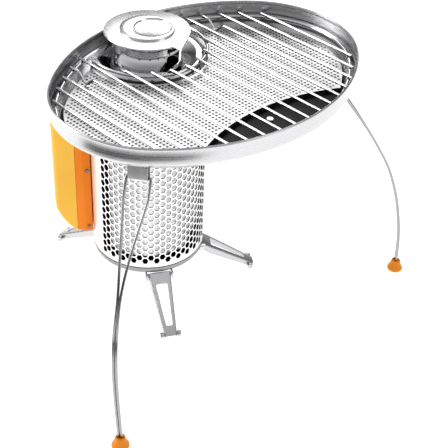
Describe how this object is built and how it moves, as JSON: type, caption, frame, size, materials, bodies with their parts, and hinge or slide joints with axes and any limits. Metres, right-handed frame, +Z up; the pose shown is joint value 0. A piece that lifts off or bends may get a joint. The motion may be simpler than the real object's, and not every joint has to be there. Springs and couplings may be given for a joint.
{
  "type": "wood-burning camp stove with grill",
  "caption": "Portable wood-burning camp stove with a perforated double-wall body, clip-on fan module and a lift-off oval grill with chimney lid on folding wire legs.",
  "frame": {"origin": "on the ground under the middle of the whole part's bounding box", "axes": "+Z up, +X from the stove towards the middle of the grill, +Y along the grill's long side from the near foot to the far foot; the tray and grate are symmetrical about the vertical plane through the stove's axis and parallel to XZ"},
  "size_m": [0.3154, 0.4086, 0.2934],
  "materials": {
    "stove_steel": "satin",
    "shield_steel": "bright perforated sheet",
    "chamber_steel": "heat-dulled",
    "leg_alloy": "satin, stamped",
    "pin_steel": "bright",
    "orange_light": "satin",
    "orange_dark": "satin",
    "copper": "plain copper",
    "ceramic_white": "matt",
    "black_plastic": "satin",
    "battery_wrap": "plain wrap",
    "board_green": "coated board",
    "lens": "clear",
    "grey_rubber": "matt",
    "tray_steel": "brushed",
    "plate_steel": "perforated sheet",
    "polished_steel": "polished",
    "wire_steel": "bright drawn wire",
    "lid_steel": "satin",
    "orange_rubber": "matt silicone"
  },
  "bodies": {
    "stove": {"base_cup": "stove_steel", "heat_shield": "shield_steel", "air_jacket": "stove_steel", "burn_chamber": "chamber_steel", "fire_grate": "chamber_steel", "top_ring": "stove_steel", "module_hooks": "leg_alloy", "leg_hinge_ears": "leg_alloy", "leg_hinge_pins": "pin_steel"},
    "leg_front": {"stove_leg_front": "leg_alloy", "foot_axle_front": "leg_alloy"},
    "leg_right": {"stove_leg_right": "leg_alloy", "foot_axle_right": "leg_alloy"},
    "leg_left": {"stove_leg_left": "leg_alloy", "foot_axle_left": "leg_alloy"},
    "module": {"module_outer_shell": "orange_light", "module_back_shell": "orange_dark", "module_screws": "pin_steel", "heat_probe": "copper", "thermoelectric_plate": "ceramic_white", "heat_sink": "leg_alloy", "fan_motor": "black_plastic", "battery_cell": "battery_wrap", "circuit_board": "board_green", "usb_socket": "pin_steel", "status_lens": "lens"},
    "fan": {"fan_rotor": "black_plastic"},
    "port_flap": {"usb_flap": "grey_rubber"},
    "button": {"power_button": "grey_rubber"},
    "grill": {"tray": "tray_steel", "stove_adapter": "tray_steel", "diffuser_plate": "plate_steel", "plate_spacers": "pin_steel", "tray_stud": "pin_steel", "chimney_neck": "polished_steel", "chimney_collar": "polished_steel", "wire_bracket_near": "tray_steel", "wire_bracket_far": "tray_steel"},
    "grate": {"grate_outline": "wire_steel", "grate_bow": "wire_steel", "grate_rods": "wire_steel"},
    "lid": {"lid_cap": "lid_steel", "lid_skirt": "polished_steel", "lid_grip": "lid_steel"},
    "prop_near": {"wire_leg_near": "wire_steel", "rubber_foot_near": "orange_rubber"},
    "prop_far": {"wire_leg_far": "wire_steel", "rubber_foot_far": "orange_rubber"}
  },
  "joints": [
    {"name": "leg_front_hinge", "type": "hinge", "parent": "stove", "child": "leg_front", "pos_m": [0.00417, -0.03533, 0.0364], "axis": [0.5, 0.866, 0], "range_deg": [0, 143]},
    {"name": "leg_right_hinge", "type": "hinge", "parent": "stove", "child": "leg_right", "pos_m": [-0.01076, 0.03805, 0.0364], "axis": [-0.7986, 0.6018, 0], "range_deg": [0, 133]},
    {"name": "leg_left_hinge", "type": "hinge", "parent": "stove", "child": "leg_left", "pos_m": [-0.0988, -0.0236, 0.0364], "axis": [0.2924, -0.9563, 0], "range_deg": [0, 118]},
    {"name": "module_clip", "type": "slide", "parent": "stove", "child": "module", "axis": [-0.8746, -0.4848, 0], "range_m": [0, 0.04]},
    {"name": "fan_spin", "type": "hinge", "parent": "module", "child": "fan", "pos_m": [-0.10774, -0.04198, 0.112], "axis": [-0.8746, -0.4848, 0], "continuous": true},
    {"name": "port_flap_hinge", "type": "hinge", "parent": "module", "child": "port_flap", "pos_m": [-0.1331, -0.05604, 0.0875], "axis": [0.4848, -0.8746, 0], "range_deg": [0, 100]},
    {"name": "power_press", "type": "slide", "parent": "module", "child": "button", "axis": [0.8746, 0.4848, 0], "range_m": [0, 0.0012], "stiffness_N_per_m": 400},
    {"name": "grill_lift", "type": "slide", "parent": "stove", "child": "grill", "axis": [0, 0, 1], "range_m": [0, 0.04]},
    {"name": "grate_lift", "type": "slide", "parent": "grill", "child": "grate", "axis": [0, 0, 1], "range_m": [0, 0.04]},
    {"name": "lid_lift", "type": "slide", "parent": "grill", "child": "lid", "axis": [0, 0, 1], "range_m": [0, 0.04]},
    {"name": "prop_near_hinge", "type": "hinge", "parent": "grill", "child": "prop_near", "pos_m": [0.08524, -0.13158, 0.248], "axis": [0.8271, 0.5621, 0], "range_deg": [0, 30]},
    {"name": "prop_far_hinge", "type": "hinge", "parent": "grill", "child": "prop_far", "pos_m": [0.08524, 0.11742, 0.248], "axis": [-0.8271, 0.5621, 0], "range_deg": [0, 30]}
  ]
}
